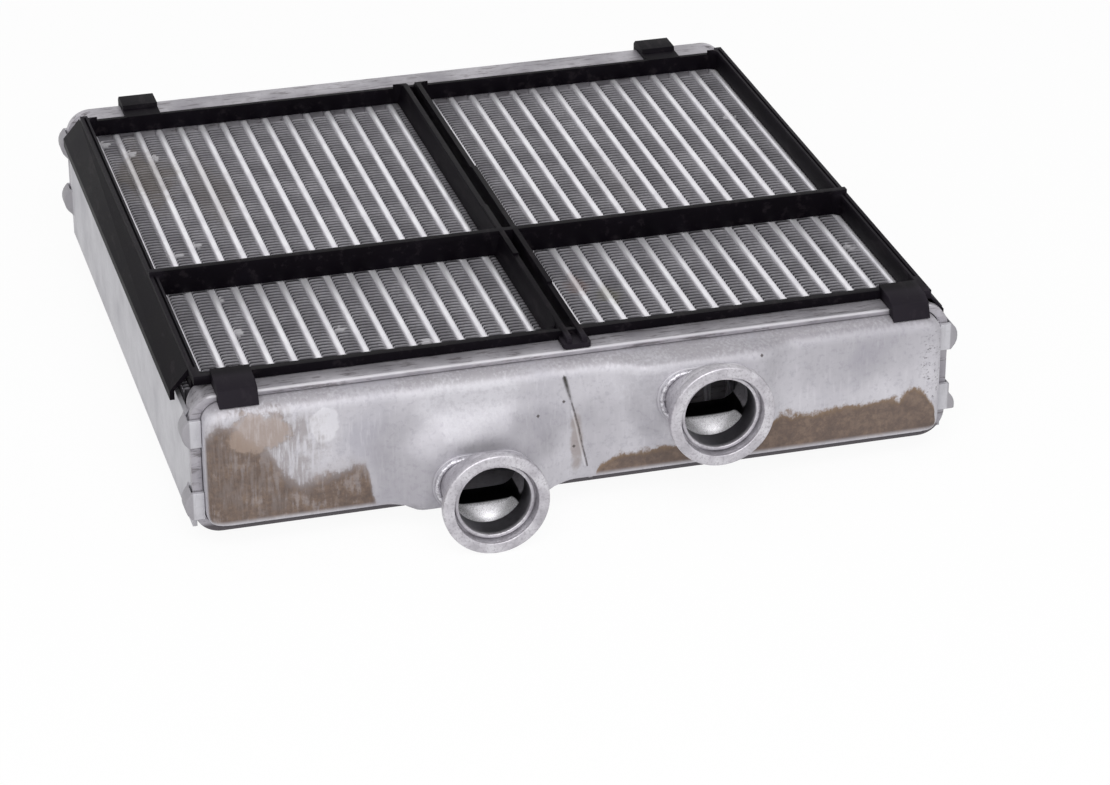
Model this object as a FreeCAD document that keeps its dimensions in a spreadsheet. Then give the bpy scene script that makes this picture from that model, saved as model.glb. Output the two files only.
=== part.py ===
import FreeCAD
import Part
import Sketcher
import math
import os

# Heater core: a flat-tube aluminium core between two header tanks, with two hose ports on the
# front tank and a black moulded sealing frame clipped over the fins.
# X runs across the core, Y from the ports to the rear tank, Z up from the surface it lies on.

SIZES = {
    # core and header trays
    "core_width": "228",
    "core_length": "216.7",
    "rim_height": "43.3",
    "rim_corner": "8",
    "rim_lip": "2.6",
    "tray_depth": "12.3",
    "tray_wall": "1.5",
    "tray_floor": "1.6",
    # tubes and fins
    "tube_pitch": "7.1",
    "tube_thickness": "2",
    "tube_nose": "0.6",
    "tube_margin": "4.15",
    "tube_wall": "0.4",
    "tube_stand": "1",
    "slot_clearance": "0.1",
    "fin_folds": "32",
    "fin_foil": "0.4",
    "fin_inset": "0.15",
    "fin_end_gap": "2.7",
    # side plates
    "plate_thickness": "1.4",
    "plate_bottom": "0.8",
    "plate_end_gap": "0.5",
    "tab_width": "8.4",
    "tab_bulge": "2.6",
    "tab_reach": "3",
    "upper_tab_drop": "6.5",
    "lower_tab": "5.4",
    "lower_tab_far": "8.6",
    # tank caps
    "cap_protrusion": "6.2",
    "cap_wall": "1.6",
    "cap_edge": "4",
    "cap_skirt": "7.5",
    "seat_clearance": "0.3",
    "hump_rise": "4.5",
    "hump_edge": "4.2",
    "hump_steep": "22",
    "hump_long": "25",
    "hump_far": "18",
    "divider_thickness": "1.2",
    "divider_lean": "8.5",
    "divider_centre": "-1.8",
    # hose ports
    "port_reach": "26.7",
    "inlet_offset": "-31.6",
    "inlet_height": "11",
    "outlet_offset": "35.5",
    "outlet_drop": "13.8",
    "bore_radius": "10.7",
    "bore_end": "9.8",
    "pipe_wall": "1.1",
    "neck_radius": "13.2",
    "flange_radius": "15.7",
    "flange_thickness": "3",
    "cup_radius": "12.4",
    "pipe_recess": "2.3",
    "oval_half_width": "12.8",
    "oval_half_height": "7",
    "collar_half_width": "14.6",
    "collar_half_height": "8.8",
    "collar_thickness": "0.9",
    # sealing frame
    "frame_shift": "-0.7",
    "frame_inset": "3.8",
    "frame_front": "7.2",
    "frame_end_gap": "0.5",
    "frame_wall": "2.4",
    "frame_front_wall": "1.6",
    "frame_rise": "3",
    "frame_rear_rise": "1.5",
    "frame_ledge_rise": "1",
    "frame_ledge": "6.3",
    "frame_foot_gap": "0.3",
    "frame_corner": "3",
    "groove_width": "0.7",
    "groove_depth": "1.2",
    "bar_place": "76.8",
    "bar_thickness": "2.2",
    "ridge_rise": "4.1",
    "rib_thickness": "1.6",
    "rib_gap": "2.8",
    "rib_centre": "0.7",
    "rib_start": "1.3",
    "rib_draft": "1.5",
    "rib_step": "0.7",
    "left_rib_high_start": "60",
    "left_rib_high_end": "97",
    "right_rib_high_start": "38",
    "right_rib_high_end": "127",
    "rib_foot": "1.1",
    "rib_foot_rise": "1.4",
    "flange_reach": "5.6",
    "flange_drop": "6.4",
    "flange_sheet": "1.4",
    "left_flange_start": "16",
    "right_flange_start": "8",
    "right_flange_corner": "3.2",
    "flange_end": "206",
    "hook_width": "11.4",
    "hook_rise": "3.6",
    "left_front_hook": "10.6",
    "right_front_hook": "8.8",
    "front_hook_reach": "4.6",
    "rear_hook": "20.8",
    "rear_hook_strap": "1.4",
    "rear_hook_reach": "2",
}

doc = FreeCAD.newDocument("heater_core")
sheet = doc.addObject("Spreadsheet::Sheet", "Sizes")
for row, (alias, number) in enumerate(SIZES.items(), start=1):
    sheet.set(f"A{row}", alias)
    sheet.set(f"B{row}", number)
    sheet.setAlias(f"B{row}", alias)
doc.recompute()


class Length:
    """A number from the sheet, or worked out from it, with the expression that gives it."""

    def __init__(self, value, text):
        self.value = value
        self.text = text

    def __add__(self, other):
        other = as_length(other)
        return Length(self.value + other.value, f"({self.text} + {other.text})")

    def __sub__(self, other):
        other = as_length(other)
        return Length(self.value - other.value, f"({self.text} - {other.text})")

    def __mul__(self, factor):
        return Length(self.value * factor, f"({self.text} * {factor})")

    def __neg__(self):
        return self * -1

    __radd__ = __add__
    __rmul__ = __mul__

    def __rsub__(self, other):
        return as_length(other) - self


def as_length(number):
    """A Length as it is, or a plain number as one."""
    return number if isinstance(number, Length) else Length(number, f"({number})")


def size(alias):
    """The size of that name in the sheet."""
    return Length(float(sheet.get(alias)), f"Sizes.{alias}")


# Places that several pieces share
half_width = size("core_width") * 0.5
core_length = size("core_length")
front = (size("port_reach") - core_length - size("cap_protrusion")) * 0.5
floor = size("flange_radius") - size("inlet_height")
middle_height = size("rim_height") * 0.5
tray_half_width = half_width - size("plate_thickness")
core_start = size("tray_depth")
core_end = core_length - size("tray_depth")
tube_start = core_start - size("tray_floor") - size("tube_stand")
tube_height = size("rim_height") - 2 * size("tube_margin")
tube_room = 2 * tray_half_width - size("tube_thickness")
tube_count = int(tube_room.value / size("tube_pitch").value)
fin_height = tube_height - 2 * size("fin_inset")
fin_top = middle_height + tube_height * 0.5
outlet_height = size("rim_height") - size("outlet_drop")
cap_half_width = tray_half_width - size("tray_wall") - size("seat_clearance")
cap_bottom = size("tray_wall") + size("seat_clearance")
cap_top = size("rim_height") - cap_bottom
hump_face = -(size("cap_protrusion") + size("hump_rise"))
flange_low = size("rim_height") - size("flange_drop")
plate_top = flange_low - size("flange_sheet") - size("frame_foot_gap")

sub_parts = []


def place(piece, x=0, y=0, z=0, turned=False):
    """Puts a sub-part on the core, turned half round where it serves the far end."""
    piece.Placement = FreeCAD.Placement(
        FreeCAD.Vector(), FreeCAD.Rotation(FreeCAD.Vector(0, 0, 1), 180 if turned else 0))
    piece.setExpression("Placement.Base.x", as_length(x).text)
    piece.setExpression("Placement.Base.y", (front + y).text)
    piece.setExpression("Placement.Base.z", (floor + z).text)
    sub_parts.append(piece)


def new_body(label):
    """A body with its own label."""
    body = doc.addObject("PartDesign::Body", label)
    body.Label = label
    return body


def new_sketch(body, name, role, offset=None):
    """A sketch on an origin plane of its body, moved along the axis across that plane."""
    plane = [item for item in body.Origin.OriginFeatures if item.Role == role][0]
    sketch = body.newObject("Sketcher::SketchObject", name)
    sketch.AttachmentSupport = [(plane, "")]
    sketch.MapMode = "FlatFace"
    if offset is not None:
        along_normal = -as_length(offset) if role == "XZ_Plane" else as_length(offset)
        sketch.setExpression("AttachmentOffset.Base.z", along_normal.text)
    return sketch


def hold_distance(sketch, kind, axis, geometry, end, distance):
    """Holds one coordinate of a point at a distance from the sketch's origin."""
    if abs(distance.value) < 1e-9:
        sketch.addConstraint(Sketcher.Constraint("PointOnObject", geometry, end, axis))
        return
    constraint = Sketcher.Constraint(kind, -1, 1, geometry, end, distance.value)
    number = sketch.addConstraint(constraint)
    sketch.setExpression(f"Constraints[{number}]", distance.text)


def hold_point(sketch, geometry, end, x, y):
    """Holds a point of the sketch by both coordinates."""
    hold_distance(sketch, "DistanceX", -2, geometry, end, as_length(x))
    hold_distance(sketch, "DistanceY", -1, geometry, end, as_length(y))


def draw_polygon(sketch, corners):
    """A closed outline of straight lines."""
    first = sketch.GeometryCount
    count = len(corners)
    points = [FreeCAD.Vector(as_length(x).value, as_length(y).value, 0) for x, y in corners]
    for index in range(count):
        sketch.addGeometry(Part.LineSegment(points[index], points[(index + 1) % count]), False)
    for index, (x, y) in enumerate(corners):
        following = first + (index + 1) % count
        sketch.addConstraint(Sketcher.Constraint("Coincident", first + index, 2, following, 1))
        hold_point(sketch, first + index, 1, x, y)


def draw_rectangle(sketch, left, right, bottom, top):
    """A closed rectangle."""
    draw_polygon(sketch, [(left, bottom), (right, bottom), (right, top), (left, top)])


def draw_rounded_rectangle(sketch, left, right, bottom, top, radius):
    """A rectangle with four arcs for corners."""
    left, right, bottom, top = (as_length(side) for side in (left, right, bottom, top))
    lines = [
        ((left + radius, bottom), (right - radius, bottom)),
        ((right, bottom + radius), (right, top - radius)),
        ((right - radius, top), (left + radius, top)),
        ((left, top - radius), (left, bottom + radius)),
    ]
    centres = [
        (right - radius, bottom + radius),
        (right - radius, top - radius),
        (left + radius, top - radius),
        (left + radius, bottom + radius),
    ]
    first = sketch.GeometryCount
    for (start, end), (x, y), quarter in zip(lines, centres, range(4)):
        start_point = FreeCAD.Vector(start[0].value, start[1].value, 0)
        end_point = FreeCAD.Vector(end[0].value, end[1].value, 0)
        sketch.addGeometry(Part.LineSegment(start_point, end_point), False)
        centre = FreeCAD.Vector(x.value, y.value, 0)
        circle = Part.Circle(centre, FreeCAD.Vector(0, 0, 1), radius.value)
        angle = (quarter - 1) * math.pi / 2
        sketch.addGeometry(Part.ArcOfCircle(circle, angle, angle + math.pi / 2), False)
    for side, (start, end) in enumerate(lines):
        line = first + 2 * side
        arc = line + 1
        following = first + (2 * side + 2) % 8
        hold_point(sketch, line, 1, *start)
        hold_point(sketch, line, 2, *end)
        sketch.addConstraint(Sketcher.Constraint("Coincident", line, 2, arc, 1))
        sketch.addConstraint(Sketcher.Constraint("Coincident", arc, 2, following, 1))
        number = sketch.addConstraint(Sketcher.Constraint("Radius", arc, radius.value))
        sketch.setExpression(f"Constraints[{number}]", radius.text)


def draw_oval(sketch, x, y, half_width, half_height):
    """A flattened round in straight lines, a full round where both halves are alike."""
    corners = []
    for side, first in ((1, -90), (-1, 90)):
        middle = x + side * (half_width - half_height)
        for number in range(12):
            angle = math.radians(first + 15 * (number + 0.5))
            corners.append((
                middle + half_height * math.cos(angle), y + half_height * math.sin(angle)))
    draw_polygon(sketch, corners)


def extrude(body, kind, name, sketch, length, reverse=False):
    """A pad or a pocket of the sketch, bound to a length."""
    feature = body.newObject(f"PartDesign::{kind}", name)
    feature.Profile = sketch
    feature.setExpression("Length", as_length(length).text)
    feature.Reversed = reverse
    sketch.Visibility = False
    return feature


def pad(body, name, sketch, length, reverse=False):
    """Adds the sketch's outline as a block."""
    return extrude(body, "Pad", name, sketch, length, reverse)


def pocket(body, name, sketch, length, reverse=False):
    """Cuts the sketch's outline as a recess."""
    before = volume_of(body)
    feature = extrude(body, "Pocket", name, sketch, length, reverse)
    doc.recompute()
    assert feature.Shape.Volume < before - 1e-3, f"{name} cuts nothing"
    return feature


def volume_of(body):
    """The volume that a body has so far."""
    doc.recompute()
    return body.Shape.Volume


def edges_where(feature, test):
    """The names of a feature's edges whose middle passes a test."""
    names = []
    for number, edge in enumerate(feature.Shape.Edges, start=1):
        first, last = edge.ParameterRange
        if test(edge.valueAt((first + last) / 2), edge):
            names.append(f"Edge{number}")
    return names


def round_edges(body, name, feature, radius, test):
    """Rounds the edges of a feature that pass a test."""
    doc.recompute()
    fillet = body.newObject("PartDesign::Fillet", name)
    fillet.Base = (feature, edges_where(feature, test))
    fillet.setExpression("Radius", radius.text)
    return fillet


# Header trays: a pan with a lip round its mouth and a slot for each tube in its floor
def header_tray(label, y, turned):
    tray = new_body(label)
    lip_outline = new_sketch(tray, f"{label}_lip_outline", "XZ_Plane")
    draw_rounded_rectangle(
        lip_outline, -half_width, half_width, 0, size("rim_height"), size("rim_corner"))
    pad(tray, f"{label}_lip", lip_outline, size("rim_lip"), reverse=True)
    wall_outline = new_sketch(tray, f"{label}_wall_outline", "XZ_Plane", size("rim_lip"))
    draw_rounded_rectangle(
        wall_outline, -tray_half_width, tray_half_width, 0, size("rim_height"), size("rim_corner"))
    pad(tray, f"{label}_wall", wall_outline, size("tray_depth") - size("rim_lip"), reverse=True)
    pan_outline = new_sketch(tray, f"{label}_pan_outline", "XZ_Plane")
    pan_half_width = tray_half_width - size("tray_wall")
    draw_rounded_rectangle(
        pan_outline, -pan_half_width, pan_half_width, size("tray_wall"),
        size("rim_height") - size("tray_wall"), size("rim_corner") - size("tray_wall"))
    pocket(tray, f"{label}_pan", pan_outline, size("tray_depth") - size("tray_floor"))
    slot_outline = new_sketch(tray, f"{label}_slot_outline", "XZ_Plane")
    first_slot = size("tube_pitch") * (0.5 - tube_count / 2)
    half_slot = size("tube_thickness") * 0.5 + size("slot_clearance")
    half_slot_height = tube_height * 0.5 + size("slot_clearance")
    draw_rectangle(
        slot_outline, first_slot - half_slot, first_slot + half_slot,
        middle_height - half_slot_height, middle_height + half_slot_height)
    slot = pocket(tray, f"{label}_slot", slot_outline, size("tray_depth"))
    slots = tray.newObject("PartDesign::LinearPattern", f"{label}_slots")
    slots.Originals = [slot]
    slots.Direction = (slot_outline, ["H_Axis"])
    slots.Occurrences = tube_count
    slots.setExpression("Length", (size("tube_pitch") * (tube_count - 1)).text)
    tray.Tip = slots
    place(tray, y=y, turned=turned)


# Tank caps: a drawn bowl whose skirt fits inside the tray's wall
def tank_cap(label, y, turned, ports):
    cap = new_body(label)
    outline = new_sketch(cap, f"{label}_outline", "XZ_Plane", size("cap_skirt"))
    corner = size("rim_corner") - size("tray_wall") - size("seat_clearance")
    draw_rounded_rectangle(outline, -cap_half_width, cap_half_width, cap_bottom, cap_top, corner)
    depth = size("cap_skirt") + size("cap_protrusion")
    shell = pad(cap, f"{label}_shell", outline, depth)
    face = -size("cap_protrusion").value
    round_edges(
        cap, f"{label}_shoulder", shell, size("cap_edge"),
        lambda middle, edge: abs(middle.y - face) < 1e-6)
    for port, (offset, height, way) in ports.items():
        port_hump(cap, f"{label}_{port}", offset, height, way)
    hollow_outline = new_sketch(cap, f"{label}_hollow_outline", "XZ_Plane", size("cap_skirt"))
    wall = size("cap_wall")
    draw_rounded_rectangle(
        hollow_outline, -cap_half_width + wall, cap_half_width - wall, cap_bottom + wall,
        cap_top - wall, corner - wall)
    pocket(cap, f"{label}_hollow", hollow_outline, depth - wall, reverse=True)
    for port, (offset, height, way) in ports.items():
        hole_outline = new_sketch(cap, f"{label}_{port}_hole_outline", "XZ_Plane", hump_face)
        clearance = size("slot_clearance")
        draw_oval(
            hole_outline, offset, height, size("oval_half_width") + clearance,
            size("oval_half_height") + clearance)
        pocket(cap, f"{label}_{port}_hole", hole_outline, size("hump_rise") + 2 * wall)
    place(cap, y=y, turned=turned)


def port_hump(cap, name, offset, height, way):
    """The raised panel round a port, steep on one flank and long on the other."""
    rim_side = cap_bottom if way > 0 else cap_top
    levels = [
        (-(size("cap_protrusion") - size("cap_edge")), Length(0, "0")),
        (hump_face, size("hump_edge")),
    ]
    outlines = []
    for level, inset in levels:
        outline = new_sketch(cap, f"{name}_outline_{len(outlines)}", "XZ_Plane", level)
        steep = offset - way * (size("hump_steep") - inset)
        long_flank = offset + way * (size("hump_long") - inset)
        edge = rim_side + way * size("seat_clearance")
        far = height + way * (size("hump_far") - inset)
        draw_polygon(outline, [
            (steep, edge + way * (size("cap_edge") - inset * 0.5)),
            (steep + way * size("cap_edge"), edge),
            (offset - way * (size("neck_radius") - size("cap_edge")), edge),
            (long_flank, edge + way * size("cap_wall")),
            (long_flank - way * size("cap_edge"), height + way * size("bore_radius")),
            (offset + way * size("bore_radius"), far),
            (offset - way * size("bore_radius"), far),
            (steep + way * size("cap_wall"), height + way * size("bore_radius") * 0.7),
        ])
        outlines.append(outline)
    hump = cap.newObject("PartDesign::AdditiveLoft", f"{name}_hump")
    hump.Profile = outlines[0]
    hump.Sections = [outlines[1]]
    hump.Ruled = True
    return hump


# Hose ports: a turned mouth with a flange, its neck flattened to an oval where it meets the tank
def hose_port(label, offset, height):
    port = new_body(label)
    length = size("port_reach") + hump_face
    spigot = size("hump_rise") + size("cap_wall")
    bore = size("bore_radius")
    bore_end = size("bore_end")
    wall = size("pipe_wall")
    flange = size("flange_radius")
    thickness = size("flange_thickness")
    neck = size("neck_radius")
    half_width = size("oval_half_width")
    half_height = size("oval_half_height")
    centre = Length(0, "0")

    outline = new_sketch(port, f"{label}_outline", "XY_Plane")
    draw_polygon(outline, [
        (size("cup_radius"), 0),
        (flange, 0),
        (flange, thickness),
        (neck, thickness + (flange - neck)),
        (neck, length),
        (0, length),
        (0, bore_end),
        (bore, bore_end),
        (bore, size("pipe_recess")),
        (size("cup_radius"), size("pipe_recess")),
    ])
    turn = port.newObject("PartDesign::Revolution", f"{label}_turned")
    turn.Profile = outline
    turn.ReferenceAxis = (outline, ["V_Axis"])
    turn.Angle = 360

    flats = new_sketch(port, f"{label}_flats_outline", "YZ_Plane", -flange)
    for side in (1, -1):
        draw_polygon(flats, [
            (length - (flange - half_height), side * flange),
            (length, side * half_height),
            (length, side * flange),
        ])
    pocket(port, f"{label}_flats", flats, 2 * flange, reverse=True)
    spigot_outline = new_sketch(port, f"{label}_spigot_outline", "XZ_Plane", length)
    draw_oval(spigot_outline, centre, centre, half_width, half_height)
    pad(port, f"{label}_spigot", spigot_outline, spigot, reverse=True)
    collar_outline = new_sketch(port, f"{label}_collar_outline", "XZ_Plane", length)
    draw_oval(
        collar_outline, centre, centre, size("collar_half_width"), size("collar_half_height"))
    pad(port, f"{label}_collar", collar_outline, size("collar_thickness"))
    passage_outline = new_sketch(port, f"{label}_passage_outline", "XZ_Plane", bore_end)
    draw_oval(passage_outline, centre, centre, half_width - wall, half_height - wall)
    pocket(port, f"{label}_passage", passage_outline, length - bore_end + spigot)
    place(port, x=offset, y=-size("port_reach"), z=height)


# Divider: the leaning plate that parts the front tank between the two ports
def divider_plate():
    plate = new_body("divider_plate")
    room = cap_top - cap_bottom - 2 * size("cap_wall") - 2 * size("slot_clearance")
    half_lean = size("divider_lean") * 0.5
    half_thickness = size("divider_thickness") * 0.5
    outline = new_sketch(plate, "divider_outline", "XZ_Plane")
    draw_polygon(outline, [
        (half_lean - half_thickness, -0.5 * room),
        (half_lean + half_thickness, -0.5 * room),
        (half_thickness - half_lean, 0.5 * room),
        (-half_lean - half_thickness, 0.5 * room),
    ])
    cap_inside = size("cap_wall") - size("cap_protrusion")
    pad(plate, "divider_sheet", outline, tube_start - cap_inside - size("slot_clearance"),
        reverse=True)
    place(plate, x=size("divider_centre"), y=cap_inside, z=middle_height)


# Tubes: flat, with narrowed noses, their ends standing a little through both tray floors
def flat_tube(x):
    """One tube, drawn flat round its own middle and drawn out along Y."""
    half_thickness = size("tube_thickness").value / 2
    half_height = tube_height.value / 2
    wall = size("tube_wall").value
    nose = size("tube_nose").value

    def closed_wire(quarter):
        right = [(x, z) for x, z in quarter] + [(x, -z) for x, z in reversed(quarter)]
        left = [(-x, z) for x, z in reversed(right)]
        corners = [FreeCAD.Vector(x, 0, z) for x, z in right + left]
        return Part.makePolygon(corners + corners[:1])

    outside = closed_wire([(half_thickness - nose, half_height), (half_thickness, half_height - nose)])
    inside = closed_wire([(half_thickness - wall, half_height - wall - nose)])
    section = Part.makeFace([outside, inside], "Part::FaceMakerBullseye")
    tube_length = core_length.value - 2 * tube_start.value
    tube = section.extrude(FreeCAD.Vector(0, tube_length, 0))
    tube.translate(FreeCAD.Vector(x, 0, 0))
    return tube


def tube_place(number):
    """Where a tube stands across the core, counted from 0 at the left."""
    return (number - (tube_count - 1) / 2) * size("tube_pitch").value


def tube_group(label, numbers):
    """The tubes of one pass, each a solid of its own."""
    group = doc.addObject("Part::Feature", label)
    group.Label = label
    group.Shape = Part.Compound([flat_tube(tube_place(number)) for number in numbers])
    place(group, y=tube_start, z=middle_height)


# Fins: one folded strip in each space between tubes, its crests against the tube walls
def fin_strip(label, left, right):
    foil = size("fin_foil").value
    folds = round(size("fin_folds").value)
    run = core_end.value - core_start.value - 2 * size("fin_end_gap").value
    reach = (right - left - foil) / 2
    crests = [(-reach if fold % 2 else reach, run * fold / folds) for fold in range(folds + 1)]
    near_side = [FreeCAD.Vector(x - foil / 2, y, 0) for x, y in crests]
    far_side = [FreeCAD.Vector(x + foil / 2, y, 0) for x, y in crests]
    outline = Part.makePolygon(near_side + far_side[::-1] + near_side[:1])
    strip = doc.addObject("Part::Feature", label)
    strip.Label = label
    strip.Shape = Part.Face(outline).extrude(FreeCAD.Vector(0, 0, fin_height.value))
    place(strip, x=(left + right) / 2, y=core_start + size("fin_end_gap"),
          z=middle_height - fin_height * 0.5)


# Side plates: one pattern serves both flanks, turned half round for the right one
def side_plate(label, turned):
    plate = new_body(label)
    outer = -half_width
    inner = -tray_half_width
    start = size("rim_lip") + size("plate_end_gap")
    half_length = core_length * 0.5
    outline = new_sketch(plate, f"{label}_outline", "XY_Plane", size("plate_bottom"))
    draw_rectangle(outline, outer, inner, start - half_length, half_length - start)
    pad(plate, f"{label}_sheet", outline, plate_top - size("plate_bottom"))
    thickness = size("plate_thickness")
    gap = size("seat_clearance")
    upper_tab = size("rim_height") - size("upper_tab_drop") - size("tab_width")
    tabs = [
        ("near_upper", -1, upper_tab),
        ("near_lower", -1, size("lower_tab")),
        ("far_upper", 1, upper_tab),
        ("far_lower", 1, size("lower_tab_far")),
    ]
    for name, end, height in tabs:
        tab_outline = new_sketch(plate, f"{label}_{name}_outline", "XY_Plane", height)
        bulge = outer - size("tab_bulge")
        rim_face = half_length + gap
        root = half_length - start - 2 * thickness
        tip = outer + size("tab_reach")
        draw_polygon(tab_outline, [
            (outer, end * (root - thickness)),
            (bulge, end * (root + thickness)),
            (bulge, end * (rim_face + thickness - gap)),
            (bulge + 2 * gap, end * (rim_face + thickness)),
            (tip, end * (rim_face + thickness)),
            (tip, end * rim_face),
            (bulge + thickness, end * rim_face),
            (bulge + thickness, end * (root + 2 * thickness)),
            (inner - gap, end * root),
            (inner - gap, end * (root - thickness)),
        ])
        pad(plate, f"{label}_{name}_tab", tab_outline, size("tab_width"))
    place(plate, y=half_length, turned=turned)


# Sealing frame: one black moulding round and across the top of the fins, hooked over both rims
def sealing_frame():
    frame = new_body("sealing_frame")
    half = half_width - size("frame_inset")
    wall = size("frame_wall")
    inner = half - wall
    gap = size("frame_foot_gap")
    foot = fin_top + gap
    rim = size("rim_height") + gap
    top = size("rim_height") + size("frame_rise")
    rear_top = size("rim_height") + size("frame_rear_rise")
    ledge_top = size("rim_height") + size("frame_ledge_rise")
    ridge = size("rim_height") + size("ridge_rise")
    hook_top = size("rim_height") + size("hook_rise")
    front_face = size("frame_front")
    ledge_front = front_face + size("frame_front_wall")
    window_front = front_face + size("frame_ledge")
    rear_face = core_end - size("frame_end_gap")
    window_rear = rear_face - size("frame_front_wall")
    relief_rear = core_start + size("seat_clearance")
    bar_front = size("bar_place")
    bar_rear = bar_front + size("bar_thickness")
    rib = size("rib_thickness")
    rib_left = size("rib_centre") - size("rib_gap") * 0.5
    rib_right = size("rib_centre") + size("rib_gap") * 0.5

    outline = new_sketch(frame, "frame_outline", "XY_Plane", foot)
    draw_rectangle(outline, -half, half, front_face, rear_face)
    for left, right in ((-inner, rib_left - rib), (rib_right + rib, inner)):
        for near, far in ((window_front, bar_front), (bar_rear, window_rear)):
            draw_rounded_rectangle(outline, left, right, near, far, size("frame_corner"))
    draw_rectangle(outline, rib_left, rib_right, window_front, bar_front)
    draw_rectangle(outline, rib_left, rib_right, bar_rear, window_rear)
    pad(frame, "frame_walls", outline, top - foot)

    relief = new_sketch(frame, "tray_relief_outline", "YZ_Plane", -half)
    draw_rectangle(relief, front_face - wall, relief_rear, foot - wall, rim)
    pocket(frame, "tray_relief", relief, 2 * half, reverse=True)
    ledge = new_sketch(frame, "ledge_outline", "YZ_Plane", -inner)
    draw_rectangle(ledge, ledge_front, window_front + wall, ledge_top, ridge)
    pocket(frame, "ledge", ledge, 2 * inner, reverse=True)
    rear_step = new_sketch(frame, "rear_step_outline", "YZ_Plane", -inner)
    draw_rectangle(rear_step, window_rear, rear_face + wall, rear_top, ridge)
    pocket(frame, "rear_step", rear_step, 2 * inner, reverse=True)
    groove = new_sketch(frame, "groove_outline", "XY_Plane", top)
    groove_side = inner + size("groove_width")
    for side in (-1, 1):
        edges = sorted([side * groove_side, side * (groove_side + size("groove_width"))],
                       key=lambda edge: edge.value)
        draw_rectangle(groove, *edges, window_front, window_rear)
    pocket(frame, "wall_grooves", groove, size("groove_depth"))

    bar = new_sketch(frame, "bar_outline", "XY_Plane", foot)
    draw_rectangle(bar, -half, half, bar_front, bar_rear)
    pad(frame, "cross_bar", bar, ridge - foot)
    ribs = [("left", rib_left - rib), ("right", rib_right)]
    for name, left in ribs:
        low = ridge - size("rib_step")
        profile = new_sketch(frame, f"{name}_rib_outline", "YZ_Plane", left)
        draw_polygon(profile, [
            (size("rib_start"), rim),
            (relief_rear, rim),
            (relief_rear, foot),
            (rear_face, foot),
            (rear_face, rear_top),
            (window_rear - rib, low),
            (size(f"{name}_rib_high_end"), low),
            (size(f"{name}_rib_high_end"), ridge),
            (size(f"{name}_rib_high_start"), ridge),
            (size(f"{name}_rib_high_start"), low),
            (size("rib_start") + rib, low),
            (size("rib_start"), top),
        ])
        pad(frame, f"{name}_rib", profile, rib)
    draft = new_sketch(frame, "rib_draft_outline", "XZ_Plane", window_front)
    draw_polygon(draft, [
        (rib_left - rib, foot),
        (rib_left - rib, top),
        (rib_left - rib - size("rib_draft"), foot),
    ])
    pad(frame, "rib_draft", draft, window_rear - window_front, reverse=True)
    rib_foot = new_sketch(frame, "rib_foot_outline", "XY_Plane", rim)
    foot_reach = size("rib_foot")
    draw_rounded_rectangle(
        rib_foot, rib_left - rib - foot_reach, rib_right + rib + foot_reach,
        size("rib_start") - foot_reach, ledge_front, foot_reach)
    pad(frame, "rib_foot", rib_foot, size("rib_foot_rise"))

    sheet_height = size("flange_sheet")
    reach = half + size("flange_reach")
    sides = [
        ("left", -1, size("left_flange_start")),
        ("right", 1, size("right_flange_start")),
    ]
    for name, side, start in sides:
        flange = new_sketch(frame, f"{name}_flange_outline", "XZ_Plane", start)
        draw_polygon(flange, [
            (side * half, size("rim_height") + sheet_height),
            (side * reach, flange_low + sheet_height),
            (side * reach, flange_low - sheet_height),
            (side * (reach - sheet_height), flange_low - sheet_height),
            (side * (reach - sheet_height), flange_low + sheet_height),
            (side * half, size("rim_height") - 0.6 * sheet_height),
        ])
        pad(frame, f"{name}_flange", flange, size("flange_end") - start, reverse=True)
    corner_start = size("right_flange_corner")
    corner = new_sketch(frame, "flange_corner_outline", "XZ_Plane", corner_start)
    corner_reach = reach - sheet_height
    draw_polygon(corner, [
        (inner, rim),
        (inner, top),
        (half, top),
        (half, size("rim_height") + sheet_height),
        (corner_reach, flange_low + 2 * sheet_height),
        (corner_reach, flange_low + sheet_height),
        (half, rim),
    ])
    pad(frame, "flange_corner", corner, size("right_flange_start") - corner_start, reverse=True)

    hook = size("hook_width")
    shoulder = size("cap_edge") - size("cap_protrusion")
    front_reach = size("front_hook_reach")
    front_hooks = [
        ("left", size("left_front_hook") - half),
        ("right", half - size("right_front_hook")),
    ]
    for name, centre in front_hooks:
        profile = new_sketch(
            frame, f"front_{name}_hook_outline", "YZ_Plane", centre - 0.5 * hook)
        draw_polygon(profile, [
            (ledge_front, rim),
            (ledge_front, hook_top + 2 * gap),
            (gap, hook_top),
            (-gap - wall, hook_top - 0.5 * wall),
            (-front_reach, cap_top - gap),
            (shoulder, cap_top + gap),
            (-2 * gap, cap_top + gap),
            (-2 * gap, rim),
        ])
        pad(frame, f"front_{name}_hook", profile, hook)
    rear_rim = core_length + gap
    strap_top = rim + size("rear_hook_strap")
    strap_end = core_end + 2 * wall - size("frame_end_gap")
    tip = rear_rim + size("rear_hook_reach")
    for name, side in (("left", -1), ("right", 1)):
        centre = side * (half - size("rear_hook"))
        profile = new_sketch(
            frame, f"rear_{name}_hook_outline", "YZ_Plane", centre - 0.5 * hook)
        draw_polygon(profile, [
            (window_rear, rim),
            (rear_rim, rim),
            (rear_rim, cap_top + gap),
            (tip, cap_top + gap),
            (tip, rear_top),
            (rear_rim + gap, top),
            (strap_end + gap, top),
            (strap_end, strap_top),
            (window_rear, strap_top),
        ])
        pad(frame, f"rear_{name}_hook", profile, hook)
    place(frame, x=size("frame_shift"))


inlet = (size("inlet_offset"), size("inlet_height"))
outlet = (size("outlet_offset"), outlet_height)

header_tray("front_header_tray", 0, False)
header_tray("rear_header_tray", core_length, True)
tank_cap("front_tank_cap", 0, False, {"inlet": (*inlet, 1), "outlet": (*outlet, -1)})
tank_cap("rear_tank_cap", core_length, True, {})
hose_port("inlet_port", *inlet)
hose_port("outlet_port", *outlet)
divider_plate()

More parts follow.
